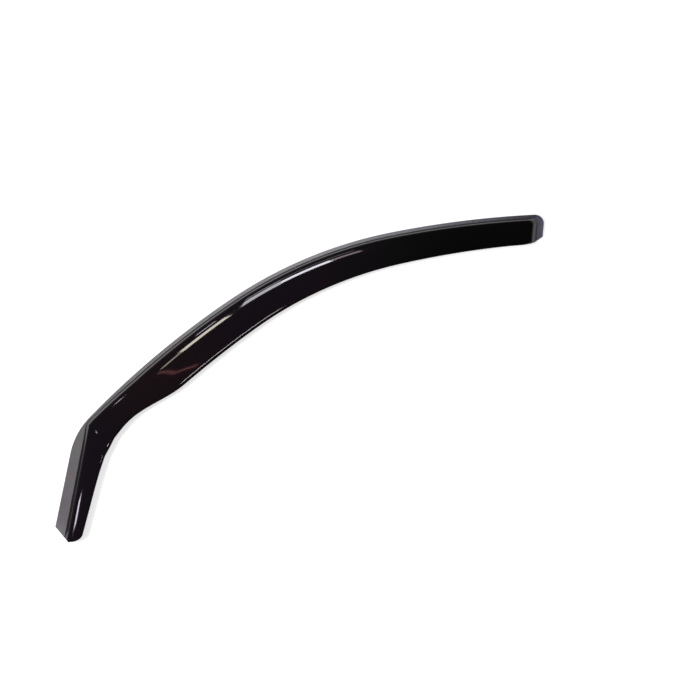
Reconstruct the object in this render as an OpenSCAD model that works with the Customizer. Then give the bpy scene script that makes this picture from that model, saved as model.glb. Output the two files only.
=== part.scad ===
// Window rain deflector: one thermoformed sheet for a front door's window frame.
// A flat bonding flange runs up the leg, along the top and round the rear corner.
// A step lifts the sheet off the flange into a gently crowned face with a free inner edge.
// It lies flange down, as it comes to rest. Millimetres.

/* [Sheet] */
// Thickness of the acrylic sheet
sheet_t = 2.8; // [2:0.1:3.2]
// Rounding of the flange's upper outer edge
rim_round = 0.8; // [0.3:0.1:1.5]

/* [Flange] */
// Flange width at the lower end of the leg
leg_flange_w = 17.4; // [14:0.1:24]
// Turn of the leg's step towards the rim
leg_taper = 0.5; // [0:0.1:2]
// Flange width where the leg's step meets the top's
front_flange_w = 3.4; // [2.5:0.1:6]
// Distance over which the flange widens from there
flange_grow = 115; // [60:5:160]
// Flange width along the top
arc_flange_w = 6.1; // [5:0.1:10]
// Flange width at the closed rear end
cap_flange_w = 11.2; // [8:0.1:15]
// Angle at which the leg's lower end is cut back, from square
leg_cut = 40.9; // [25:0.1:50]

/* [Step] */
// Height of the step from flange top to crest
step_h = 7.5; // [4.5:0.1:9]
// Slope of the step wall
step_slope = 47; // [44:1:72]
// Upper-side radius at the foot of the step
foot_r = 0.8; // [0.5:0.1:2]
// Upper-side radius at the crest of the step
crest_r = 5; // [4:0.1:8]
// Corner radius of the crest line where leg and top meet
front_mitre_r = 2; // [1:0.5:8]
// Corner radius of the step's foot at the rear end
rear_foot_r = 5.5; // [2:0.5:9]
// Corner radius of the crest line at the rear end
rear_crest_r = 9; // [3:0.5:12]

/* [Face] */
// Rise of the soft shoulder inside the crest
shoulder_h = 3; // [1:0.2:4]
// Length over which the shoulder flattens out
shoulder_len = 14; // [10:1:20]
// Drop of the face towards the free edge where the face is widest
edge_drop = 1.6; // [0:0.2:3]
// Width of the turned-down margin at the free edge
margin_w = 4; // [2:0.2:6]
// Slope that the margin adds at the free edge
margin_slope = 24; // [0:1:35]

/* [Rim line in plan] */
// Straight outer edge of the leg
leg_len = 120.5; // [90:0.5:150]
// Direction of the leg above the long axis
leg_heading = 82.5; // [76:0.1:86]
// Radius of the front corner
corner_r = 118; // [90:1:150]
// Turn of the front corner
corner_turn = 33.5; // [26:0.5:36]
// Length of the front part of the top
front_run = 308; // [260:2:350]
// Radius of the front part of the top
front_r = 1392; // [1200:1:1800]
// Length of the middle part of the top
mid_run = 292; // [240:2:340]
// Radius of the middle part of the top
mid_r = 698; // [620:1:900]
// Length of the rear part of the top
rear_run = 248.3; // [200:0.1:300]
// Radius of the rear part of the top
rear_r = 1542; // [1300:1:2200]
// Radius of the rear outer corner
rear_corner_r = 15.1; // [12:0.1:20]
// Turn of the rear outer corner
rear_corner_turn = 100.3; // [92:0.1:106]
// Straight outer edge of the closed rear end
cap_len = 23.5; // [20:0.1:30]

/* [Widths from rim to free edge] */
// Width at the lower end of the leg
leg_low_w = 47.7; // [44:0.1:52]
// Width high on the leg
leg_high_w = 53.4; // [50:0.1:58]
// Width at the middle of the front corner
corner_w = 60.3; // [54:0.1:64]
// Width at the waist behind the front corner
waist_w = 54.7; // [48:0.1:60]
// Greatest width, behind the waist
bulge_w = 72.5; // [66:0.1:78]
// Width in the middle of the top
mid_w = 67.9; // [64:0.1:74]
// Width at the rear end
rear_w = 57.8; // [52:0.1:60]
// Rise of the free edge above its straight run at the rear end
end_lift = 1.6; // [0:0.1:5]
// Distance of the waist behind the front corner
waist_at = 35.6; // [24:0.1:44]
// Distance of the greatest width behind the front corner
bulge_at = 146; // [120:0.2:180]
// Reach of the rounded leg tip below the straight outer edge
tip_back = 7.7; // [4:0.1:14]
// Fullness of the rounded leg tip
tip_fullness = 8.7; // [6:0.1:13]
// Turn of the outline where the end cut becomes the tip
tip_bend = 46.6; // [20:0.1:60]

/* [Hidden] */
smoke = [0.09, 0.07, 0.1];

function lerp(a, b, f) = a + (b - a) * f;

// Middle line of the sheet across the strip: step profile as [distance in, height, slope]
half_t = sheet_t / 2;
foot_mid_r = foot_r + half_t;
crest_mid_r = crest_r - half_t;
shoulder_slope = atan(shoulder_h / shoulder_len);
foot_rise = foot_mid_r * (1 - cos(step_slope));
crest_rise = crest_mid_r * (cos(shoulder_slope) - cos(step_slope));
wall_rise = step_h - foot_rise - crest_rise;
wall_run = wall_rise / tan(step_slope);
crest_start = foot_mid_r * sin(step_slope) + wall_run;
step_run = crest_start + crest_mid_r * (sin(step_slope) - sin(shoulder_slope));
foot_steps = 3;
crest_steps = 4;
step_profile = concat(
    [for (n = [0:foot_steps]) let (a = step_slope * n / foot_steps)
        [foot_mid_r * sin(a), half_t + foot_mid_r * (1 - cos(a)), a]],
    [for (n = [0:crest_steps]) let (a = lerp(step_slope, shoulder_slope, n / crest_steps))
        [crest_start + crest_mid_r * (sin(step_slope) - sin(a)),
            half_t + foot_rise + wall_rise + crest_mid_r * (cos(a) - cos(step_slope)), a]]);
crest_top = half_t + step_h;

// Stations along the strip, in stretches: leg tip, leg, corner before the mitre, front mitre,
// corner after the mitre, top, rear mitre, rear end
stretch = [9, 12, 6, 4, 6, 50, 7, 6];
function sum_to(list, n) = n <= 0 ? 0 : list[n - 1] + sum_to(list, n - 1);
station = [for (n = [0:len(stretch)]) sum_to(stretch, n)];
last = station[len(stretch)];
// Part of the way through stretch g at station i
function part_of(i, g) = (i - station[g]) / stretch[g];

// Rim line: [length, turn] of each tangent line or arc
function arc_turn(run, radius) = -run / radius * 180 / PI;
rim_chain = [
    [leg_len, 0],
    [corner_r * corner_turn * PI / 180, -corner_turn],
    [front_run, arc_turn(front_run, front_r)],
    [mid_run, arc_turn(mid_run, mid_r)],
    [rear_run, arc_turn(rear_run, rear_r)],
    [rear_corner_r * rear_corner_turn * PI / 180, -rear_corner_turn],
    [cap_len, 0]];
chain_len = [for (part = rim_chain) part[0]];
mark = [for (n = [0:len(rim_chain)]) sum_to(chain_len, n)];
leg_end = mark[1];
corner_end = mark[2];
corner_mid = (leg_end + corner_end) / 2;
top_end = mark[5];
cap_start = mark[6];
rim_end = mark[7];
// Rim length given to the front mitre's stations
mitre_span = 6;

function unit(h) = [cos(h), sin(h)];
function inward(h) = [sin(h), -cos(h)];
// [x, y, heading] after going s along one line or arc of the chain
function advance(from, s, run, turn) =
    let (swing = turn * s / run,
        chord = turn == 0 ? s : s * sin(swing / 2) / (swing * PI / 360),
        head = from[2] + swing / 2)
    [from[0] + chord * cos(head), from[1] + chord * sin(head), from[2] + swing];
// Pose of the rim at distance s from the leg's lower end, straight on beyond both ends
function rim_pose(s, n = 0, from = [0, 0, leg_heading]) =
    n == len(rim_chain) - 1 || s <= rim_chain[n][0]
    ? (abs(s) < 1e-9 ? from : advance(from, s, rim_chain[n][0], rim_chain[n][1]))
    : rim_pose(s - rim_chain[n][0], n + 1, advance(from, rim_chain[n][0], rim_chain[n][0], rim_chain[n][1]));
// Point at distance s along the rim and w inward from it
function inset(s, w) = let (p = rim_pose(s)) [p[0], p[1]] + w * inward(p[2]);

// Where a line through a with heading ha meets a line through b with heading hb
function meet(a, ha, b, hb) =
    let (along = (b - a) * inward(hb) / (unit(ha) * inward(hb)))
    a + along * unit(ha);
// How far before its corner an arc of radius r starts
function corner_cut(r, turn) = r * tan(turn / 2);
// Point f of the way round a corner at k that is rounded with radius r
function round_corner(k, h_in, h_out, r, f) =
    let (turn = h_in - h_out,
        start = k - corner_cut(r, turn) * unit(h_in),
        centre = start + r * inward(h_in))
    centre - r * inward(h_in - f * turn);

rear_heading = rim_pose(top_end)[2];
cap_heading = rear_heading - rear_corner_turn;
cap_turn = rear_heading - cap_heading;

// The lines below run parallel to the foot of the step, d inward from it.
// On the leg such a line is straight; on the top it follows the rim.
leg_line_heading = leg_heading + leg_taper;
corner_centre = inset(leg_end, corner_r);
// Turn between both where they meet
function mitre_turn(d) = acos((corner_centre - inset(0, leg_flange_w + d)) * inward(leg_line_heading)
    / (corner_r - front_flange_w - d));
function mitre_out(d) = leg_line_heading - mitre_turn(d);
function mitre_vertex(d) = corner_centre - (corner_r - front_flange_w - d) * inward(mitre_out(d));
function mitre_cut_of(d) = corner_cut(front_mitre_r, mitre_turn(d));
// Rim distance at which the line's part along the top starts
function top_start(d) =
    leg_end + corner_r * (leg_heading - mitre_out(d) + mitre_cut_of(d) / (corner_r - front_flange_w - d) * 180 / PI)
        * PI / 180;
flange_from = top_start(0);
// Flange width along the top
function top_flange(s) =
    let (u = min(1, max(0, (s - flange_from) / flange_grow)))
    lerp(front_flange_w, arc_flange_w, u * u * (3 - 2 * u));

// Rear corner of such a line: its radius, its vertex and how far round it bites
function rear_r_of(d) = lerp(rear_foot_r, rear_crest_r, min(1, max(0, d / step_run)));
function rear_vertex(d) =
    meet(inset(top_end, arc_flange_w + d), rear_heading, inset(rim_end, cap_flange_w + d), cap_heading);
function rear_cut_of(d) = corner_cut(rear_r_of(d), cap_turn);
// Rim distance at which the line leaves the top for the rear corner
function top_stop(d) = top_end
    + (rear_vertex(d) - inset(top_end, arc_flange_w + d)) * unit(rear_heading) - rear_cut_of(d);

// Point of the line at station i
function bend_line(i, d) =
    let (start = meet(inset(0, leg_flange_w + d), leg_line_heading, inset(0, 0), leg_heading - 90 - leg_cut),
        leg_stop = mitre_vertex(d) - mitre_cut_of(d) * unit(leg_line_heading),
        top_s = i < station[5] ? lerp(top_start(d), corner_end, part_of(i, 4))
            : lerp(corner_end, top_stop(d), part_of(i, 5)),
        cap_w = cap_flange_w + d,
        after_rear = rear_vertex(d) + rear_cut_of(d) * unit(cap_heading),
        finish = inset(rim_end + cap_w * cap_cut, cap_w))
    i < station[3] ? lerp(start, leg_stop, lookup(i, [[0, 0], [station[1], 0.1], [station[3], 1]]))
    : i < station[4] ? round_corner(mitre_vertex(d), leg_line_heading, mitre_out(d), front_mitre_r, part_of(i, 3))
    : i < station[6] ? inset(top_s, top_flange(top_s) + d)
    : i < station[7] ? round_corner(rear_vertex(d), rear_heading, cap_heading, rear_r_of(d), part_of(i, 6))
    : lerp(after_rear, finish, part_of(i, 7));

// Heading of the crest line at station i; behind the top it stays the top's
function crest_heading(i) =
    i < station[3] ? leg_line_heading
    : i < station[4] ? leg_line_heading - part_of(i, 3) * mitre_turn(step_run)
    : i < station[5] ? rim_pose(lerp(top_start(step_run), corner_end, part_of(i, 4)))[2]
    : i < station[6] ? rim_pose(lerp(corner_end, top_stop(step_run), part_of(i, 5)))[2]
    : rear_heading;

// Rim point at station i
function rim_line(i) = inset(lookup(i, [
    [0, 0], [station[1], tip_back], [station[2], leg_end], [station[3], corner_mid - mitre_span],
    [station[4], corner_mid + mitre_span], [station[5], corner_end], [station[6], top_end],
    [station[7], cap_start], [last, rim_end]]), 0);

// Widths from rim to free edge: [place along the rim, width]
width_knots = [
    [0, leg_low_w], [leg_len * 0.7, leg_high_w], [corner_mid, corner_w], [corner_end + waist_at, waist_w],
    [corner_end + bulge_at, bulge_w], [corner_end + front_run + mid_run / 3, mid_w],
    [top_end - rear_corner_r, rear_w]];
knots = len(width_knots);
function rise(k) = (width_knots[k + 1][1] - width_knots[k][1]) / (width_knots[k + 1][0] - width_knots[k][0]);
// Slope of the width at knot k: level where it peaks or dips
function knot_slope(k) =
    k == 0 ? rise(0)
    : k == knots - 1 ? rise(knots - 2)
    : rise(k - 1) * rise(k) <= 0 ? 0
    : 2 * rise(k - 1) * rise(k) / (rise(k - 1) + rise(k));
function knot_before(s, k = 0) = k >= knots - 2 || s < width_knots[k + 1][0] ? k : knot_before(s, k + 1);
function width(s) =
    s <= 0 ? leg_low_w + s * knot_slope(0)
    : s >= width_knots[knots - 1][0] ? rear_w + (s - width_knots[knots - 1][0]) * knot_slope(knots - 1)
    : let (k = knot_before(s), a = width_knots[k], b = width_knots[k + 1],
        span = b[0] - a[0], u = (s - a[0]) / span)
    a[1] * (1 + 2 * u) * (1 - u) * (1 - u) + b[1] * u * u * (3 - 2 * u)
    + span * (knot_slope(k) * u * (1 - u) * (1 - u) - knot_slope(k + 1) * u * u * (1 - u));
function free_pt(s) = inset(s, width(s));

// Rear end: the free edge bends up to the crest, and the flange is cut back from there
end_share = 34;
cap_share = 11;
end_a = free_pt(top_end - end_share);
end_a_step = end_a - free_pt(top_end - end_share - 1);
end_a_out = end_a_step / norm(end_a_step);
cap_crest = inset(rim_end, cap_flange_w + step_run);
crest_end = meet(end_a, atan2(end_a_out[1], end_a_out[0]), cap_crest, cap_heading) - end_lift * unit(cap_heading);
cap_cut = (crest_end - cap_crest) * unit(cap_heading) / (cap_flange_w + step_run);
// Short length of face left between the crest and the free edge at both ends
crest_stub = 2.4;
end_b = crest_end - crest_stub * end_a_out;
end_bend = end_a + norm(end_b - end_a) * 0.6 * end_a_out;
function end_curve(f) = (1 - f) * (1 - f) * end_a + 2 * f * (1 - f) * end_bend + f * f * end_b;

// Rounded leg tip: a curve from the crest's end to the free edge
tip_a_out = unit(leg_heading - 90 - leg_cut + tip_bend);
tip_a = bend_line(0, step_run) + crest_stub * tip_a_out;
tip_b = free_pt(-tip_back);
tip_b_out = (tip_b - free_pt(0)) / norm(tip_b - free_pt(0));
function tip_curve(f) =
    pow(1 - f, 3) * tip_a + 3 * f * pow(1 - f, 2) * (tip_a + tip_fullness * tip_a_out)
    + 3 * f * f * (1 - f) * (tip_b + tip_fullness * tip_b_out) + pow(f, 3) * tip_b;

function free_line(i) =
    i < station[1] ? tip_curve(part_of(i, 0))
    : i > station[6] ? end_curve(lookup(i, [[station[6], 0], [station[7], 1 - cap_share / end_share], [last, 1]]))
    : free_pt(lookup(i, [
        [station[1], -tip_back], [station[2], leg_end], [station[3], corner_mid - mitre_span],
        [station[4], corner_mid + mitre_span], [station[5], corner_end], [station[6], top_end - end_share]]));

// Shares of the way across the face up to its margin, closer together at the shoulder
face_shares = [0.06, 0.14, 0.24, 0.38, 0.55, 0.76, 1];
margin_shares = [0.35, 0.7, 1];
edge_steps = 4;
widest_face = bulge_w - arc_flange_w - step_run;
margin_curve = tan(margin_slope) / (2 * margin_w);

// Rise of the face at distance a from the crest along the top or leg and c from the crest at the rear end
function face_rise(a, c) =
    shoulder_h * (1 - exp(-a / shoulder_len)) * (1 - exp(-c / shoulder_len)) - edge_drop * pow(a / widest_face, 2);
// Its slopes along those two distances
function slope_a(a, c) =
    shoulder_h / shoulder_len * exp(-a / shoulder_len) * (1 - exp(-c / shoulder_len))
    - 2 * edge_drop * a / pow(widest_face, 2);
function slope_c(a, c) = shoulder_h / shoulder_len * (1 - exp(-a / shoulder_len)) * exp(-c / shoulder_len);
// Crest point that the distance a is measured from
function face_from(i) = bend_line(min(i, station[6]), step_run);

// Middle point and upward normal of the face at station i, w along dir from the crest, m inside the margin
function face_at(i, crest, dir, w, m) =
    let (p = crest + w * dir,
        in_a = inward(crest_heading(i)),
        in_c = inward(cap_heading),
        a = max(0, (p - face_from(i)) * in_a),
        c = max(0, (p - cap_crest) * in_c),
        g = slope_a(a, c) * in_a + slope_c(a, c) * in_c - 2 * margin_curve * m * dir,
        size = sqrt(1 + g * g))
    [[p[0], p[1], crest_top + face_rise(a, c) - margin_curve * m * m], [-g[0], -g[1], 1] / size];

// Closed outline of the sheet's section at station i, from the rim over the top and back below
function section(i) =
    let (rim = rim_line(i),
        foot = bend_line(i, 0),
        across = (foot - rim) / norm(foot - rim),
        crest = bend_line(i, step_run),
        edge = free_line(i),
        dir = (edge - crest) / norm(edge - crest),
        full = norm(edge - crest) - half_t,
        margin = min(margin_w, full / 2),
        side = function(sign, part) let (p = bend_line(i, part[0] - sign * half_t * sin(part[2])))
            [p[0], p[1], part[1] + sign * half_t * cos(part[2])],
        face = concat(
            [for (share = face_shares) face_at(i, crest, dir, share * (full - margin), 0)],
            [for (share = margin_shares) face_at(i, crest, dir, full - margin * (1 - share), margin * share)]),
        end = face[len(face) - 1],
        up = end[1],
        flat_out = [dir[0], dir[1], -(up[0] * dir[0] + up[1] * dir[1]) / up[2]],
        out = flat_out / norm(flat_out))
    concat(
        [[rim[0], rim[1], 0], [rim[0], rim[1], sheet_t - rim_round]],
        [let (p = rim + across * rim_round * (1 - cos(45))) [p[0], p[1], sheet_t - rim_round * (1 - sin(45))]],
        [let (p = rim + across * rim_round) [p[0], p[1], sheet_t]],
        [for (part = step_profile) side(1, part)],
        [for (f = face) f[0] + half_t * f[1]],
        [for (n = [1:edge_steps - 1]) let (b = 90 - 180 * n / edge_steps) end[0] + half_t * (cos(b) * out + sin(b) * up)],
        [for (n = [len(face) - 1:-1:0]) face[n][0] - half_t * face[n][1]],
        [for (n = [len(step_profile) - 1:-1:0]) side(-1, step_profile[n])]);

rings = [for (i = [0:last]) section(i)];
round_n = len(rings[0]);
// Middle of the plan, which the origin stands under
plan = [for (ring = rings) each ring];
plan_x = [for (p = plan) p[0]];
plan_y = [for (p = plan) p[1]];
middle = [(min(plan_x) + max(plan_x)) / 2, (min(plan_y) + max(plan_y)) / 2, 0];

// Skin between neighbouring sections, and a ladder of triangles over each cut end
function at(i, j) = i * round_n + j % round_n;
skin = [for (i = [0:last - 1], j = [0:round_n - 1])
    each [[at(i, j), at(i, j + 1), at(i + 1, j + 1)], [at(i, j), at(i + 1, j + 1), at(i + 1, j)]]];
// Above and below the section's points pair up across the sheet, after the rim's extra points
rim_points = 4;
pairs = len(step_profile) + len(face_shares) + len(margin_shares);
tip_points = edge_steps - 1;
function above(n) = rim_points + n;
function below(n) = round_n - 1 - n;
function end_fan(i) = concat(
    [[at(i, 0), at(i, 1), at(i, 2)], [at(i, 0), at(i, 2), at(i, 3)], [at(i, 0), at(i, 3), at(i, above(0))],
        [at(i, 0), at(i, above(0)), at(i, below(0))]],
    [for (n = [0:pairs - 2]) each [
        [at(i, above(n)), at(i, above(n + 1)), at(i, below(n + 1))],
        [at(i, above(n)), at(i, below(n + 1)), at(i, below(n))]]],
    [for (n = [0:tip_points - 1]) [at(i, below(pairs - 1)), at(i, above(pairs - 1) + n), at(i, above(pairs - 1) + n + 1)]]);
function flip(faces) = [for (f = faces) [f[2], f[1], f[0]]];

module deflector() {
    color(smoke)
        translate(-middle)
            polyhedron(points = plan, faces = concat(flip(skin), end_fan(0), flip(end_fan(last))));
}

deflector();
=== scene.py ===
import math

import bpy
import numpy as np
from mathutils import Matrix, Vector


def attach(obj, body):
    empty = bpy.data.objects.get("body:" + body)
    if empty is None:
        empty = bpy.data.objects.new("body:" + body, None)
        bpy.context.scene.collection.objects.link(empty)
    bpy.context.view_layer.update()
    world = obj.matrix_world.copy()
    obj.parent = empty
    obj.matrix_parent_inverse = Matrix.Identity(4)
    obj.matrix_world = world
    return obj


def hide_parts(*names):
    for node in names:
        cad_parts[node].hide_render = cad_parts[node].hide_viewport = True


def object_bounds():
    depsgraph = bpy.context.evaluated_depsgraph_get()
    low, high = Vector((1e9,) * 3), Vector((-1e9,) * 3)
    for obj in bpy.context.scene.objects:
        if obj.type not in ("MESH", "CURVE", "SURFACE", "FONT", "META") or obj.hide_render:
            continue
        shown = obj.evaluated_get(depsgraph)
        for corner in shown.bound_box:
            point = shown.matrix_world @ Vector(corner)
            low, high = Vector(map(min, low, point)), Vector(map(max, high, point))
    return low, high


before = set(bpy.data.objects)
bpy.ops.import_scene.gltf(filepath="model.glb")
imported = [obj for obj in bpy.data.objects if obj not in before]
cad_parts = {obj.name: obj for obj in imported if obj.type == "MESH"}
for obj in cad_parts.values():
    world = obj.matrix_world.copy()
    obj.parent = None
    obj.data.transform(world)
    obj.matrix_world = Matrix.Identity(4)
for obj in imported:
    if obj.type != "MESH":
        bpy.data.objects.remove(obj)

cad_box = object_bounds()
MM = 0.001       # sizes below are in millimetres, the scene in metres
FIT = 0.99998    # the finer mesh stays just inside the CAD box

# ---- Sizes of the formed sheet, in millimetres and degrees ----
SHEET_T, RIM_ROUND = 2.8, 0.8
# Flange: on the leg, behind the mitre, along the top, at the rear end
LEG_FLANGE_W, LEG_TAPER, LEG_CUT = 17.4, 0.5, 40.9
FRONT_FLANGE_W, FLANGE_GROW = 3.4, 115.0
ARC_FLANGE_W, CAP_FLANGE_W = 6.1, 11.2
# Step, and how its line turns the corners
STEP_H, STEP_SLOPE, FOOT_R, CREST_R = 7.5, 47.0, 0.8, 5.0
FRONT_MITRE_R, REAR_FOOT_R, REAR_CREST_R = 2.0, 5.5, 9.0
# Face: shoulder, fall towards the free edge, turned-down margin
SHOULDER_H, SHOULDER_LEN, EDGE_DROP = 3.0, 14.0, 1.6
MARGIN_W, MARGIN_SLOPE = 4.0, 24.0
# Rim, from the leg's lower end to the rear end
LEG_LEN, LEG_HEADING = 120.5, 82.5
CORNER_R, CORNER_TURN = 118.0, 33.5
FRONT_RUN, FRONT_R = 308.0, 1392.0
MID_RUN, MID_R = 292.0, 698.0
REAR_RUN, REAR_R = 248.3, 1542.0
REAR_CORNER_R, REAR_CORNER_TURN, CAP_LEN = 15.1, 100.3, 23.5
# Width from the rim to the free edge, and how far along the rim it is reached
LEG_LOW_W, LEG_HIGH_W, CORNER_W, WAIST_W = 47.7, 53.4, 60.3, 54.7
BULGE_W, MID_W, REAR_W = 72.5, 67.9, 57.8
LEG_HIGH_AT, WAIST_AT, BULGE_AT, MID_AT = LEG_LEN * 0.7, 35.6, 146.0, MID_RUN / 3
# Rounded tip of the leg and closed rear end
TIP_BACK, TIP_FULLNESS, TIP_BEND, TIP_SHARE = 7.7, 8.7, 46.6, 0.1
END_SHARE, CAP_SHARE, END_LIFT, END_FULLNESS = 34.0, 11.0, 1.6, 0.6
CREST_STUB, MITRE_SPAN = 2.4, 6.0
# Stations in each stretch: tip, leg, corner up to the mitre, mitre, rest of the corner, top,
# rear corner, rear end
STRETCH = [9, 12, 6, 4, 6, 50, 7, 6]

# ---- Fineness of the visible mesh ----
PER_STATION = 4
FOOT_STEPS, CREST_STEPS, FACE_STEPS, MARGIN_STEPS, EDGE_STEPS, RIM_STEPS = 6, 12, 26, 8, 10, 4
FACE_CROWDING = 1.4    # draws the face's rows towards the crest, where it bends most
FLAT_LOOP = 0.25       # loops that keep the flange flat between its rounded rim and the foot
SHARP_ANGLE = 40.0
STRAIGHT = 1e-9        # a turn below this is a straight run


# ---- Small helpers; angles are in degrees, and inward is to the right of a heading ----
def sin(a): return math.sin(math.radians(a))
def cos(a): return math.cos(math.radians(a))
def tan(a): return math.tan(math.radians(a))
def unit(h): return np.array([cos(h), sin(h)])
def inward(h): return np.array([sin(h), -cos(h)])
def lerp(a, b, f): return a + (b - a) * f
def heading_of(v): return math.degrees(math.atan2(v[1], v[0]))
def direction(v): return v / np.linalg.norm(v)


def lookup(x, rows):
    return float(np.interp(x, [r[0] for r in rows], [r[1] for r in rows]))


def eased(u):
    return u * u * (3 - 2 * u)


# ---- Middle line of the sheet across the step ----
HALF_T = SHEET_T / 2
FOOT_MID_R, CREST_MID_R = FOOT_R + HALF_T, CREST_R - HALF_T
SHOULDER_SLOPE = math.degrees(math.atan(SHOULDER_H / SHOULDER_LEN))
FOOT_RISE = FOOT_MID_R * (1 - cos(STEP_SLOPE))
CREST_RISE = CREST_MID_R * (cos(SHOULDER_SLOPE) - cos(STEP_SLOPE))
WALL_RISE = STEP_H - FOOT_RISE - CREST_RISE
CREST_START = FOOT_MID_R * sin(STEP_SLOPE) + WALL_RISE / tan(STEP_SLOPE)
STEP_RUN = CREST_START + CREST_MID_R * (sin(STEP_SLOPE) - sin(SHOULDER_SLOPE))
CREST_TOP = HALF_T + STEP_H


def step_profile():
    """Rows of run from the foot, height and slope."""
    rows = []
    for n in range(FOOT_STEPS + 1):
        a = STEP_SLOPE * n / FOOT_STEPS
        rows.append((FOOT_MID_R * sin(a), HALF_T + FOOT_MID_R * (1 - cos(a)), a))
    for n in range(CREST_STEPS + 1):
        a = lerp(STEP_SLOPE, SHOULDER_SLOPE, n / CREST_STEPS)
        rows.append((CREST_START + CREST_MID_R * (sin(STEP_SLOPE) - sin(a)),
                     HALF_T + FOOT_RISE + WALL_RISE + CREST_MID_R * (cos(a) - cos(STEP_SLOPE)),
                     a))
    return rows


# ---- Rim line in plan: a chain of parts, each with its length and its turn ----
STATION = [sum(STRETCH[:n]) for n in range(len(STRETCH) + 1)]
LAST = STATION[-1]
RIM_CHAIN = [
    (LEG_LEN, 0.0),
    (math.radians(CORNER_TURN) * CORNER_R, -CORNER_TURN),
    (FRONT_RUN, -math.degrees(FRONT_RUN / FRONT_R)),
    (MID_RUN, -math.degrees(MID_RUN / MID_R)),
    (REAR_RUN, -math.degrees(REAR_RUN / REAR_R)),
    (math.radians(REAR_CORNER_TURN) * REAR_CORNER_R, -REAR_CORNER_TURN),
    (CAP_LEN, 0.0)]
RIM_AT = [sum(part[0] for part in RIM_CHAIN[:n]) for n in range(len(RIM_CHAIN) + 1)]
LEG_END, CORNER_END = RIM_AT[1], RIM_AT[2]
TOP_END, CAP_START, RIM_END = RIM_AT[5], RIM_AT[6], RIM_AT[7]
CORNER_MID = (LEG_END + CORNER_END) / 2


def part_of(i, g):
    """Share of stretch g that station i has covered."""
    return (i - STATION[g]) / STRETCH[g]


def rim_pose(s):
    """Point and heading of the rim at distance s from the leg's lower end."""
    p, head = np.zeros(2), LEG_HEADING
    for n, (run, turn) in enumerate(RIM_CHAIN):
        stop = n == len(RIM_CHAIN) - 1 or s <= run
        d = s if stop else run
        swing = turn * d / run
        chord = d if abs(swing) < STRAIGHT else d * sin(swing / 2) / math.radians(swing / 2)
        p = p + chord * unit(head + swing / 2)
        head += swing
        if stop:
            return p, head
        s -= run


def inset(s, w):
    """Point w inward from the rim at distance s."""
    p, head = rim_pose(s)
    return p + w * inward(head)


def meet(a, ha, b, hb):
    """Where the line through a with heading ha meets the line through b with heading hb."""
    return a + (b - a) @ inward(hb) / (unit(ha) @ inward(hb)) * unit(ha)


def corner_cut(r, turn):
    return r * tan(turn / 2)


def round_corner(k, h_in, h_out, r, f):
    """Point at share f of the arc of radius r that rounds the corner k."""
    turn = h_in - h_out
    centre = k - corner_cut(r, turn) * unit(h_in) + r * inward(h_in)
    return centre - r * inward(h_in - f * turn)


# ---- Widths from the rim to the free edge: rim distance and width of each knot ----
KNOTS = [
    (0.0, LEG_LOW_W), (LEG_HIGH_AT, LEG_HIGH_W), (CORNER_MID, CORNER_W),
    (CORNER_END + WAIST_AT, WAIST_W), (CORNER_END + BULGE_AT, BULGE_W),
    (CORNER_END + FRONT_RUN + MID_AT, MID_W), (TOP_END - REAR_CORNER_R, REAR_W)]


def rise(k):
    return (KNOTS[k + 1][1] - KNOTS[k][1]) / (KNOTS[k + 1][0] - KNOTS[k][0])


def knot_slope(k):
    if k == 0:
        return rise(0)
    if k == len(KNOTS) - 1:
        return rise(k - 1)
    a, b = rise(k - 1), rise(k)
    return 0.0 if a * b <= 0 else 2 * a * b / (a + b)


def width(s):
    """Width at rim distance s: a curve through the knots that doesn't overshoot them."""
    if s <= 0:
        return LEG_LOW_W + s * knot_slope(0)
    if s >= KNOTS[-1][0]:
        return REAR_W + (s - KNOTS[-1][0]) * knot_slope(len(KNOTS) - 1)
    k = max(n for n in range(len(KNOTS) - 1) if n == 0 or s >= KNOTS[n][0])
    (s0, w0), (s1, w1) = KNOTS[k], KNOTS[k + 1]
    span, u = s1 - s0, (s - s0) / (s1 - s0)
    return (w0 * (1 + 2 * u) * (1 - u) ** 2 + w1 * eased(u)
            + span * (knot_slope(k) * u * (1 - u) ** 2 - knot_slope(k + 1) * u * u * (1 - u)))


def free_pt(s):
    return inset(s, width(s))


# ---- Rear end of the strip ----
REAR_HEADING = rim_pose(TOP_END)[1]
CAP_HEADING = REAR_HEADING - REAR_CORNER_TURN
END_A = free_pt(TOP_END - END_SHARE)
END_A_OUT = direction(END_A - free_pt(TOP_END - END_SHARE - 1))
CAP_CREST = inset(RIM_END, CAP_FLANGE_W + STEP_RUN)
CREST_END = (meet(END_A, heading_of(END_A_OUT), CAP_CREST, CAP_HEADING)
             - END_LIFT * unit(CAP_HEADING))
CAP_CUT = (CREST_END - CAP_CREST) @ unit(CAP_HEADING) / (CAP_FLANGE_W + STEP_RUN)
END_B = CREST_END - CREST_STUB * END_A_OUT
END_BEND = END_A + np.linalg.norm(END_B - END_A) * END_FULLNESS * END_A_OUT


# ---- Lines of the step, d inward from its foot: straight on the leg, along the rim on the top ----
LEG_LINE_HEADING = LEG_HEADING + LEG_TAPER
CORNER_CENTRE = inset(LEG_END, CORNER_R)


def mitre(d):
    """Turn between leg and top where they meet, heading after it, vertex and bite."""
    r = CORNER_R - FRONT_FLANGE_W - d
    reach = (CORNER_CENTRE - inset(0, LEG_FLANGE_W + d)) @ inward(LEG_LINE_HEADING)
    turn = math.degrees(math.acos(reach / r))
    head = LEG_LINE_HEADING - turn
    return turn, head, CORNER_CENTRE - r * inward(head), corner_cut(FRONT_MITRE_R, turn)


def top_start(d):
    """Rim distance at which the line's part along the top starts."""
    _, head, _, cut = mitre(d)
    bite = cut / (CORNER_R - FRONT_FLANGE_W - d)
    return LEG_END + CORNER_R * (math.radians(LEG_HEADING - head) + bite)


FLANGE_FROM = top_start(0)


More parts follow.
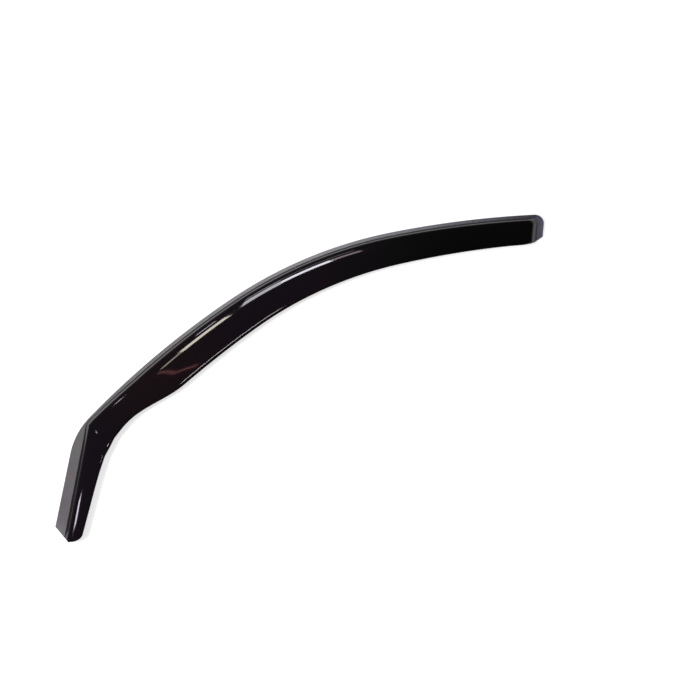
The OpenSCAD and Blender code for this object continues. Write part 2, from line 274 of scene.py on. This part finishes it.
def top_flange(s):
    """Flange width along the top, which grows over a length behind the mitre."""
    u = min(1.0, max(0.0, (s - FLANGE_FROM) / FLANGE_GROW))
    return lerp(FRONT_FLANGE_W, ARC_FLANGE_W, eased(u))


def rear_corner(d):
    """Radius, vertex and bite of the line's rear corner."""
    r = lerp(REAR_FOOT_R, REAR_CREST_R, min(1.0, max(0.0, d / STEP_RUN)))
    k = meet(inset(TOP_END, ARC_FLANGE_W + d), REAR_HEADING,
             inset(RIM_END, CAP_FLANGE_W + d), CAP_HEADING)
    return r, k, corner_cut(r, REAR_CORNER_TURN)


def top_stop(d):
    """Rim distance at which the line leaves the top for the rear corner."""
    _, k, cut = rear_corner(d)
    return TOP_END + (k - inset(TOP_END, ARC_FLANGE_W + d)) @ unit(REAR_HEADING) - cut


def top_place(i, d):
    """Rim distance of station i, which lies on the top."""
    if i < STATION[5]:
        return lerp(top_start(d), CORNER_END, part_of(i, 4))
    return lerp(CORNER_END, top_stop(d), part_of(i, 5))


def bend_line(i, d):
    """Point of the line at station i."""
    if i < STATION[4]:
        _, head, vertex, cut = mitre(d)
        if i >= STATION[3]:
            return round_corner(vertex, LEG_LINE_HEADING, head, FRONT_MITRE_R, part_of(i, 3))
        start = meet(inset(0, LEG_FLANGE_W + d), LEG_LINE_HEADING,
                     inset(0, 0), LEG_HEADING - 90 - LEG_CUT)
        return lerp(start, vertex - cut * unit(LEG_LINE_HEADING),
                    lookup(i, [(0, 0), (STATION[1], TIP_SHARE), (STATION[3], 1)]))
    if i < STATION[6]:
        s = top_place(i, d)
        return inset(s, top_flange(s) + d)
    r, k, cut = rear_corner(d)
    if i < STATION[7]:
        return round_corner(k, REAR_HEADING, CAP_HEADING, r, part_of(i, 6))
    cap_w = CAP_FLANGE_W + d
    return lerp(k + cut * unit(CAP_HEADING), inset(RIM_END + cap_w * CAP_CUT, cap_w),
                part_of(i, 7))


def crest_heading(i):
    """Heading of the crest line at station i; behind the top it stays the top's."""
    if i < STATION[3]:
        return LEG_LINE_HEADING
    if i < STATION[4]:
        return LEG_LINE_HEADING - part_of(i, 3) * mitre(STEP_RUN)[0]
    if i < STATION[6]:
        return rim_pose(top_place(i, STEP_RUN))[1]
    return REAR_HEADING


# ---- Rim and free edge by station ----
CORNER_PLACES = [
    (STATION[2], LEG_END), (STATION[3], CORNER_MID - MITRE_SPAN),
    (STATION[4], CORNER_MID + MITRE_SPAN), (STATION[5], CORNER_END)]
RIM_PLACES = ([(0, 0), (STATION[1], TIP_BACK)] + CORNER_PLACES
              + [(STATION[6], TOP_END), (STATION[7], CAP_START), (LAST, RIM_END)])
EDGE_PLACES = [(STATION[1], -TIP_BACK)] + CORNER_PLACES + [(STATION[6], TOP_END - END_SHARE)]

TIP_A_OUT = unit(LEG_HEADING - 90 - LEG_CUT + TIP_BEND)
TIP_A = bend_line(0, STEP_RUN) + CREST_STUB * TIP_A_OUT
TIP_B = free_pt(-TIP_BACK)
TIP_B_OUT = direction(TIP_B - free_pt(0))


def rim_line(i):
    return inset(lookup(i, RIM_PLACES), 0)


def free_line(i):
    """Free edge: round the tip, along the widths, then into the crest line at the rear."""
    if i < STATION[1]:
        f = part_of(i, 0)
        return ((1 - f) ** 3 * TIP_A + 3 * f * (1 - f) ** 2 * (TIP_A + TIP_FULLNESS * TIP_A_OUT)
                + 3 * f * f * (1 - f) * (TIP_B + TIP_FULLNESS * TIP_B_OUT) + f ** 3 * TIP_B)
    if i > STATION[6]:
        f = lookup(i, [(STATION[6], 0), (STATION[7], 1 - CAP_SHARE / END_SHARE), (LAST, 1)])
        return (1 - f) ** 2 * END_A + 2 * f * (1 - f) * END_BEND + f * f * END_B
    return free_pt(lookup(i, EDGE_PLACES))


# ---- Sections ----
WIDEST_FACE = BULGE_W - ARC_FLANGE_W - STEP_RUN
MARGIN_CURVE = tan(MARGIN_SLOPE) / (2 * MARGIN_W)
PROFILE = step_profile()
FACE_SHARES = [(n / FACE_STEPS) ** FACE_CROWDING for n in range(1, FACE_STEPS + 1)]
MARGIN_SHARES = [n / MARGIN_STEPS for n in range(1, MARGIN_STEPS + 1)]
# Zones across the strip, and the slope from which the foot counts as the step
FLANGE, STEP, FACE = 0.0, 1.0, 2.0
FULL_STEP_SLOPE = 30.0


def face_at(i, crest, away, w, m):
    """Middle point and upward normal of the face, w from the crest and m inside the margin."""
    p = crest + w * away
    in_a, in_c = inward(crest_heading(i)), inward(CAP_HEADING)
    a = max(0.0, (p - bend_line(min(i, STATION[6]), STEP_RUN)) @ in_a)
    c = max(0.0, (p - CAP_CREST) @ in_c)
    fade_a, fade_c = math.exp(-a / SHOULDER_LEN), math.exp(-c / SHOULDER_LEN)
    z = (CREST_TOP + SHOULDER_H * (1 - fade_a) * (1 - fade_c)
         - EDGE_DROP * (a / WIDEST_FACE) ** 2 - MARGIN_CURVE * m * m)
    steep = SHOULDER_H / SHOULDER_LEN
    g = ((steep * fade_a * (1 - fade_c) - 2 * EDGE_DROP * a / WIDEST_FACE ** 2) * in_a
         + steep * (1 - fade_a) * fade_c * in_c - 2 * MARGIN_CURVE * m * away)
    return np.array([p[0], p[1], z]), direction(np.array([-g[0], -g[1], 1.0]))


def section(i):
    """Points of the sheet's section at station i with, for each, its zone across the strip."""
    rim, foot, edge = rim_line(i), bend_line(i, 0), free_line(i)
    crest = bend_line(i, STEP_RUN)
    across, away = direction(foot - rim), direction(edge - crest)
    full = np.linalg.norm(edge - crest) - HALF_T
    margin = min(MARGIN_W, full / 2)
    face = [(face_at(i, crest, away, f * (full - margin), 0), STEP + f * (1 - margin / full))
            for f in FACE_SHARES]
    face += [(face_at(i, crest, away, full - margin * (1 - f), margin * f),
              STEP + 1 - (1 - f) * margin / full) for f in MARGIN_SHARES]
    pts, zone = [(*rim, 0.0)], [FLANGE]

    def add(point, where):
        pts.append(tuple(point))
        zone.append(where)

    def side(sign, row):
        d, z, a = row
        add((*bend_line(i, d - sign * HALF_T * sin(a)), z + sign * HALF_T * cos(a)),
            min(STEP, a / FULL_STEP_SLOPE))

    for n in range(RIM_STEPS + 1):
        a = 90 * n / RIM_STEPS
        add((*(rim + across * RIM_ROUND * (1 - cos(a))), SHEET_T - RIM_ROUND * (1 - sin(a))),
            FLANGE)
    add((*(rim + across * (RIM_ROUND + FLAT_LOOP)), SHEET_T), FLANGE)
    add((*(foot - across * FLAT_LOOP), SHEET_T), FLANGE)
    for row in PROFILE:
        side(1, row)
    for (point, up), where in face:
        add(point + HALF_T * up, where)
    tip, up = face[-1][0]
    out = direction(np.array([away[0], away[1], -(up[:2] @ away) / up[2]]))
    for n in range(1, EDGE_STEPS):
        a = 90 - 180 * n / EDGE_STEPS
        add(tip + HALF_T * (cos(a) * out + sin(a) * up), FACE)
    for (point, up), where in reversed(face):
        add(point - HALF_T * up, where)
    for row in reversed(PROFILE):
        side(-1, row)
    return pts, zone


# ---- Mesh ----
HEAD = RIM_STEPS + 4    # a section's points before the step: underside, rim and two loops
PAIRS = len(PROFILE) + len(FACE_SHARES) + len(MARGIN_SHARES)    # top and underside, in pairs
EDGE_FROM = HEAD + PAIRS - 1    # last point on top, where the round of the free edge starts


def end_faces(at, per):
    """Faces that close the section whose first point has index at."""
    faces = [[at + n for n in range(HEAD)] + [at + HEAD, at + per - 1]]
    for n in range(PAIRS - 1):
        faces.append([at + HEAD + n, at + HEAD + n + 1, at + per - 2 - n, at + per - 1 - n])
    faces.append([at + EDGE_FROM + n for n in range(EDGE_STEPS + 1)])
    return faces


def build_sheet():
    """The sheet as one closed mesh, fitted to the CAD box, with its cut faces marked."""
    rings, zones, along = [], [], []
    count = LAST * PER_STATION
    for n in range(count + 1):
        pts, zone = section(n / PER_STATION)
        rings.append(pts)
        zones.append(zone)
        along.append([n / count] * len(pts))
    per = len(rings[0])
    coords = np.array(rings).reshape(-1, 3)
    lo, hi = coords.min(0), coords.max(0)
    coords = (coords - [(lo[0] + hi[0]) / 2, (lo[1] + hi[1]) / 2, 0]) * MM
    cad_plan = np.array(cad_box[1][:2]) - cad_box[0][:2]
    coords[:, :2] *= cad_plan / (hi[:2] - lo[:2]) / MM * FIT
    faces, cut = [], []
    for i in range(count):
        for j in range(per):
            k = (j + 1) % per
            faces.append((i * per + j, (i + 1) * per + j, (i + 1) * per + k, i * per + k))
            cut.append(int(EDGE_FROM <= j < EDGE_FROM + EDGE_STEPS))
    for i, flip in ((0, True), (count, False)):
        ends = end_faces(i * per, per)
        faces += [tuple(reversed(f)) if flip else tuple(f) for f in ends]
        cut += [1] * len(ends)
    mesh = bpy.data.meshes.new("deflector_sheet")
    mesh.from_pydata(coords.tolist(), [], faces)
    for name, values in (("zone", zones), ("along", along)):
        layer = mesh.attributes.new(name, "FLOAT", "POINT")
        layer.data.foreach_set("value", np.array(values, dtype=np.float32).ravel())
    mesh.polygons.foreach_set("use_smooth", [True] * len(mesh.polygons))
    mesh.polygons.foreach_set("material_index", cut)
    mesh.set_sharp_from_angle(angle=math.radians(SHARP_ANGLE))
    mesh.update()
    sheet = bpy.data.objects.new("deflector_sheet", mesh)
    bpy.context.scene.collection.objects.link(sheet)
    return sheet


# ---- Shader nodes ----
def new_material(name):
    """A material and its emptied node tree."""
    mat = bpy.data.materials.new(name)
    mat.use_nodes = True
    mat.node_tree.nodes.clear()
    return mat, mat.node_tree


def add_node(tree, kind, **settings):
    node = tree.nodes.new(kind)
    for key, value in settings.items():
        setattr(node, key, value)
    return node


def feed(tree, socket, value):
    """Link an output into the socket, or set a constant on it."""
    if isinstance(value, bpy.types.NodeSocket):
        tree.links.new(value, socket)
    else:
        socket.default_value = value


def feed_all(tree, node, values):
    for key, value in values.items():
        feed(tree, node.inputs[key], value)


def math_node(tree, operation, a, b, clamp=False):
    node = add_node(tree, "ShaderNodeMath", operation=operation, use_clamp=clamp)
    feed_all(tree, node, {0: a, 1: b})
    return node.outputs[0]


def vector_math(tree, operation, values, output="Vector"):
    node = add_node(tree, "ShaderNodeVectorMath", operation=operation)
    feed_all(tree, node, values)
    return node.outputs[output]


def map_range(tree, source, band, low, high):
    """The source's band of values, spread from low to high."""
    node = add_node(tree, "ShaderNodeMapRange")
    feed_all(tree, node, {"From Min": band[0], "From Max": band[1],
                          "To Min": low, "To Max": high, "Value": source})
    return node.outputs[0]


def colour_ramp(tree, source, stops):
    node = add_node(tree, "ShaderNodeValToRGB")
    ramp = node.color_ramp
    while len(ramp.elements) < len(stops):
        ramp.elements.new(1.0)
    for element, (place, colour) in zip(ramp.elements, stops):
        element.position = place
        element.color = (*colour, 1)
    feed(tree, node.inputs[0], source)
    return node.outputs[0]


def attribute(tree, name):
    return add_node(tree, "ShaderNodeAttribute", attribute_name=name).outputs["Fac"]


def noise(tree, place, name):
    """The named noise, turned to the marks' slant and stretched along it."""
    scale, detail, stretch = NOISES[name]
    turned = add_node(tree, "ShaderNodeMapping")
    feed_all(tree, turned, {"Scale": stretch, "Rotation": (0, 0, math.radians(SLANT)),
                            "Vector": place})
    node = add_node(tree, "ShaderNodeTexNoise")
    feed_all(tree, node, {"Scale": scale, "Detail": detail, "Vector": turned.outputs[0]})
    return node.outputs["Fac"]


def marks(tree, place, name, low, high, band=(0.3, 0.7)):
    """The named noise, with the middle band of its values spread from low to high."""
    return map_range(tree, noise(tree, place, name), band, low, high)


def bump(tree, height, depth, normal=None):
    node = add_node(tree, "ShaderNodeBump")
    feed_all(tree, node, {"Distance": depth, "Height": height})
    if normal is not None:
        feed(tree, node.inputs["Normal"], normal)
    return node.outputs[0]


def plastic(tree, colour, roughness, normal):
    """Acrylic's shader, linked to the material's output."""
    bsdf = add_node(tree, "ShaderNodeBsdfPrincipled")
    feed_all(tree, bsdf, {"Base Color": colour, "Roughness": roughness, "Normal": normal,
                          "IOR": ACRYLIC_IOR})
    output = add_node(tree, "ShaderNodeOutputMaterial")
    feed(tree, output.inputs[0], bsdf.outputs[0])
    return bsdf


# ---- Materials ----
# Colour along the strip, from the leg's lower end to the rear end. The flange's pale grey is
# painted light: it stands for the white floor seen through the thin sheet where it lies flat, and
# is brighter or darker along the strip as it shows under the lamps
FLANGE_PAINTED_LIGHT = [
    (0.0, (0.122, 0.118, 0.128)), (0.12, (0.100, 0.091, 0.102)), (0.22, (0.100, 0.094, 0.098)),
    (0.29, (0.104, 0.098, 0.102)), (0.35, (0.102, 0.096, 0.098)), (0.48, (0.140, 0.136, 0.138)),
    (0.65, (0.200, 0.192, 0.204)), (0.75, (0.146, 0.142, 0.160)), (0.82, (0.090, 0.086, 0.106)),
    (0.87, (0.036, 0.034, 0.046)), (0.92, (0.082, 0.076, 0.106))]
# Face: its own near-black colour, darkened towards the rear end as painted shade and warmed near
# 0.43 to 0.48 as a painted reddish reflection
FACE_TONE_AND_PAINTED_LIGHT = [
    (0.0, (0.0052, 0.0036, 0.0056)), (0.36, (0.0052, 0.0037, 0.0054)),
    (0.43, (0.0066, 0.0038, 0.0048)), (0.48, (0.0064, 0.0037, 0.0048)),
    (0.53, (0.0054, 0.0036, 0.0056)), (0.64, (0.0054, 0.0037, 0.0056)),
    (0.72, (0.0036, 0.0032, 0.0036)), (0.80, (0.0019, 0.0018, 0.0020))]
EDGE_TINT = [(0.3, (0.004, 0.0035, 0.0045)), (0.7, (0.008, 0.007, 0.009))]
# Noises for the marks on the sheet: scale per metre, detail and stretch
NOISES = {
    "clouds": (28.0, 3.0, (1.0, 1.0, 1.0)),
    "grain": (420.0, 2.0, (1.0, 0.35, 1.0)),
    "strokes": (260.0, 1.0, (1.0, 0.2, 1.0)),
    "wiping": (90.0, 4.0, (1.0, 0.25, 1.0)),
    "waves": (22.0, 1.0, (1.0, 1.0, 1.0)),
    "ripple": (500.0, 2.0, (1.0, 1.0, 1.0)),
    "scrape": (700.0, 3.0, (0.3, 1.0, 1.0))}
SLANT = 55.0
STROKE_BAND, WIPE_BAND, SCRAPE_BAND = (0.35, 0.65), (0.35, 0.75), (0.3, 0.7)
CLOUD_LEVEL, GRAIN_LEVEL, STROKE_LEVEL = 0.07, 0.05, 0.14
HUE_SCALE, HUE_SPAN = 60.0, 0.028
# Where along the strip the strokes set in, and the zones over which the flange's painted light
# gives way to the face's colour and gloss changes
STROKES_FROM, PAINTED_LIGHT_ZONE, GLOSS_ZONE = (0.72, 0.90), (0.02, 0.5), (0.0, 0.3)
FACE_ROUGH, FLANGE_ROUGH, EDGE_ROUGH = 0.03, 0.30, 0.6
WIPED_ROUGH, SCRAPED_LESS, SCRAPED_MORE = 0.02, 0.06, 0.08
WAVE_DEPTH, RIPPLE_DEPTH, SCRAPE_DEPTH = 0.00001, 0.0000012, 0.00002
ACRYLIC_IOR, EDGE_SPECULAR = 1.49, 0.15


def acrylic():
    """Smoked sheet: polished dark step and face, and a duller flange made paler by painted light
    that stands for the white floor seen through the sheet.
    """
    mat, tree = new_material("smoked_acrylic")
    place = add_node(tree, "ShaderNodeTexCoord").outputs["Object"]
    zone, along = attribute(tree, "zone"), attribute(tree, "along")
    # Painted light on the flange, standing for the white floor seen through the sheet, mottled with
    # soft clouds, fine grain and short slanted strokes at the rear
    cloudy = math_node(tree, "ADD", marks(tree, place, "clouds", -CLOUD_LEVEL, CLOUD_LEVEL),
                       marks(tree, place, "grain", -GRAIN_LEVEL, GRAIN_LEVEL))
    slanted = math_node(tree, "MULTIPLY", map_range(tree, along, STROKES_FROM, 0.0, 1.0),
                        marks(tree, place, "strokes", -STROKE_LEVEL, STROKE_LEVEL, STROKE_BAND))
    level = math_node(tree, "ADD", 1.0, math_node(tree, "ADD", cloudy, slanted))
    mottled_painted_light = vector_math(tree, "SCALE",
                          {0: colour_ramp(tree, along, FLANGE_PAINTED_LIGHT), "Scale": level})
    hue = add_node(tree, "ShaderNodeTexNoise")
    feed_all(tree, hue, {"Scale": HUE_SCALE, "Vector": place})
    cast = vector_math(tree, "MULTIPLY_ADD", {
        0: hue.outputs["Color"], 1: (HUE_SPAN,) * 3, 2: (-HUE_SPAN / 2,) * 3})
    # Across the step, the flange's painted light blends into the face's colour, which holds painted
    # shade and a painted reflection
    tone_with_painted_light = add_node(tree, "ShaderNodeMix", data_type="RGBA")
    feed_all(tree, tone_with_painted_light, {
        "Factor": map_range(tree, zone, PAINTED_LIGHT_ZONE, 0.0, 1.0),
        "A": vector_math(tree, "ADD", {0: mottled_painted_light, 1: cast}),
        "B": colour_ramp(tree, along, FACE_TONE_AND_PAINTED_LIGHT)})
    # Gloss: dull on the flange, polished from the step on, with faint wiping marks
    gloss = math_node(tree, "ADD", marks(tree, place, "wiping", 0.0, WIPED_ROUGH, WIPE_BAND),
                      map_range(tree, zone, GLOSS_ZONE, FLANGE_ROUGH, FACE_ROUGH))
    # Slow waves of the thermoformed sheet with the very fine ripple of its surface
    waves = bump(tree, noise(tree, place, "waves"), WAVE_DEPTH)
    ripple = bump(tree, noise(tree, place, "ripple"), RIPPLE_DEPTH, waves)
    plastic(tree, tone_with_painted_light.outputs["Result"], gloss, ripple)
    return mat


def cut_edge():
    """The sawn and scraped edge of the sheet: dark and matt, with fine marks on it."""
    mat, tree = new_material("acrylic_cut_edge")
    place = add_node(tree, "ShaderNodeTexCoord").outputs["Object"]
    scrape = noise(tree, place, "scrape")
    gloss = map_range(tree, scrape, SCRAPE_BAND,
                      EDGE_ROUGH - SCRAPED_LESS, EDGE_ROUGH + SCRAPED_MORE)
    bsdf = plastic(tree, colour_ramp(tree, scrape, EDGE_TINT), gloss,
                   bump(tree, scrape, SCRAPE_DEPTH))
    bsdf.inputs["Specular IOR Level"].default_value = EDGE_SPECULAR
    return mat


FLOOR_GREY, FLOOR_LIFT = 0.38, 0.72


def floor_material():
    """Matt floor, lifted to white for the camera and where gloss or glass shows it."""
    mat, tree = new_material("pale_floor")
    path = add_node(tree, "ShaderNodeLightPath").outputs
    seen = math_node(tree, "ADD", path["Is Camera Ray"], path["Is Glossy Ray"], clamp=True)
    seen = math_node(tree, "ADD", seen, path["Is Transmission Ray"], clamp=True)
    diffuse = add_node(tree, "ShaderNodeBsdfDiffuse")
    feed(tree, diffuse.inputs["Color"], (FLOOR_GREY, FLOOR_GREY, FLOOR_GREY, 1))
    glow = add_node(tree, "ShaderNodeEmission")
    feed(tree, glow.inputs["Strength"], math_node(tree, "MULTIPLY", seen, FLOOR_LIFT))
    both = add_node(tree, "ShaderNodeAddShader")
    feed_all(tree, both, {0: diffuse.outputs[0], 1: glow.outputs[0]})
    output = add_node(tree, "ShaderNodeOutputMaterial")
    feed(tree, output.inputs[0], both.outputs[0])
    return mat


# ---- The part ----
sheet = build_sheet()
sheet.data.materials.append(acrylic())
sheet.data.materials.append(cut_edge())
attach(sheet, "root")
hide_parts("deflector")

# ---- Floor, just under the part ----
FLOOR_HALF, FLOOR_DROP = 6.0, 0.0002
floor_mesh = bpy.data.meshes.new("floor")
floor_mesh.from_pydata([(-FLOOR_HALF, -FLOOR_HALF, 0), (FLOOR_HALF, -FLOOR_HALF, 0),
                        (FLOOR_HALF, FLOOR_HALF, 0), (-FLOOR_HALF, FLOOR_HALF, 0)],
                       [], [(0, 1, 2, 3)])
floor = bpy.data.objects.new("floor", floor_mesh)
floor.data.materials.append(floor_material())
bpy.context.scene.collection.objects.link(floor)
floor.location.z = -FLOOR_DROP

# ---- Light ----
# Soft boxes that face the part: place, size in metres and power in watts
SOFT_BOXES = [
    ("key", (-2.77, -0.95, 2.73), (1.3, 1.3), 140),
    ("fill", (-2.6, -0.9, 1.9), (1.8, 1.8), 70)]
# Narrow lamps at one height that face down, each mirrored as one streak: ends in plan, width,
# radiance and colour
LAMP_Z = 1.6
WARM, COOL, VIOLET = (1.0, 0.94, 0.78), (0.93, 0.92, 1.0), (0.95, 0.85, 1.0)
GREY, ROSE, RED = (1.0, 0.96, 0.98), (1.0, 0.82, 0.90), (1.0, 0.36, 0.34)
LAMPS = [
    ("warm_thin", (-0.645, 0.779), (-0.595, 0.842), 0.06, 6.5, WARM),
    ("warm", (-0.607, 0.862), (-0.467, 0.997), 0.135, 15.0, WARM),
    ("cool_front", (-0.465, 1.118), (-0.310, 1.190), 0.20, 11.0, COOL),
    ("cool", (-0.310, 1.190), (-0.112, 1.268), 0.145, 21.0, COOL),
    ("cool_tail", (-0.112, 1.280), (0.002, 1.314), 0.11, 4.8, ROSE),
    ("cool_edge", (-0.560, 1.320), (-0.390, 1.380), 0.10, 4.0, COOL),
    ("cool_rim", (-0.405, 1.415), (-0.080, 1.545), 0.10, 1.5, ROSE),
    ("left_thin", (-0.973, 0.888), (-0.964, 0.914), 0.06, 13.0, VIOLET),
    ("mid_thin", (-0.713, 1.137), (-0.645, 1.187), 0.08, 8.5, VIOLET),
    ("leg", (-1.125, 0.196), (-1.130, 0.285), 0.095, 18.0, VIOLET),
    ("front", (-0.024, 0.304), (0.041, 0.194), 0.27, 22.0, GREY),
    ("red_left", (-0.629, 0.732), (-0.395, 0.514), 0.012, 1.9, RED),
    ("red_right", (-0.395, 0.514), (-0.275, 0.465), 0.012, 1.9, RED)]


def area_light(name, place, size, energy, colour=(1, 1, 1)):
    data = bpy.data.lights.new(name, "AREA")
    data.shape = "RECTANGLE"
    data.size, data.size_y = size
    data.energy = energy
    data.color = colour
    lamp = bpy.data.objects.new(name, data)
    lamp.location = place
    bpy.context.scene.collection.objects.link(lamp)
    return lamp


for name, place, size, energy in SOFT_BOXES:
    lamp = area_light(name, place, size, energy)
    tilt = math.atan2(math.hypot(place[0], place[1]), place[2])
    lamp.rotation_euler = (tilt, 0, math.atan2(place[1], place[0]) + math.pi / 2)
for name, start, stop, width_m, radiance, colour in LAMPS:
    run = math.dist(start, stop)
    middle = ((start[0] + stop[0]) / 2, (start[1] + stop[1]) / 2, LAMP_Z)
    energy = radiance * math.pi * run * width_m
    lamp = area_light("lamp_" + name, middle, (run, width_m), energy, colour)
    lamp.rotation_euler = (0, 0, math.atan2(stop[1] - start[1], stop[0] - start[0]))

# World: grey levels by height and by how far a direction points to the back right
BACK_DIRECTION = (0.5, 0.866, 0.0)
WORLD_STRENGTH = 1.35
BY_HEIGHT = [(0.0, 0.8), (0.4, 0.65), (0.68, 0.03)]
BY_SIDE = [(0.0, 0.15), (0.42, 0.44), (0.53, 0.52), (0.68, 0.74), (0.83, 1.0)]


def grey_ramp(tree, source, levels):
    return colour_ramp(tree, source, [(place, (level,) * 3) for place, level in levels])


def build_world():
    world = bpy.data.worlds.new("studio")
    world.use_nodes = True
    tree = world.node_tree
    tree.nodes.clear()
    toward = add_node(tree, "ShaderNodeTexCoord").outputs["Generated"]
    split = add_node(tree, "ShaderNodeSeparateXYZ")
    feed(tree, split.inputs[0], toward)
    side = vector_math(tree, "DOT_PRODUCT", {0: toward, 1: BACK_DIRECTION}, "Value")
    background = add_node(tree, "ShaderNodeBackground")
    feed_all(tree, background, {
        "Color": grey_ramp(tree, split.outputs["Z"], BY_HEIGHT),
        "Strength": math_node(tree, "MULTIPLY", grey_ramp(tree, side, BY_SIDE), WORLD_STRENGTH)})
    output = add_node(tree, "ShaderNodeOutputWorld")
    feed(tree, output.inputs[0], background.outputs[0])
    return world


bpy.context.scene.world = build_world()

# ---- Camera: its focal length is given in the photograph's pixels ----
CAM_ELEVATION, CAM_DISTANCE = 70.0, 2.4
LOOK_AT = (0.0676, 0.0395, 0.0)
SENSOR_MM, FOCAL_PX, PHOTO_PX = 36.0, 1454.5, 700
cam_data = bpy.data.cameras.new("camera")
cam_data.sensor_width = SENSOR_MM
cam_data.lens = SENSOR_MM * FOCAL_PX / PHOTO_PX
camera = bpy.data.objects.new("camera", cam_data)
camera.location = (LOOK_AT[0], LOOK_AT[1] - CAM_DISTANCE * cos(CAM_ELEVATION),
                   CAM_DISTANCE * sin(CAM_ELEVATION))
camera.rotation_euler = (math.radians(90 - CAM_ELEVATION), 0, 0)
bpy.context.scene.collection.objects.link(camera)
bpy.context.scene.camera = camera
bpy.context.scene.view_settings.view_transform = "Standard"

bpy.context.view_layer.update()
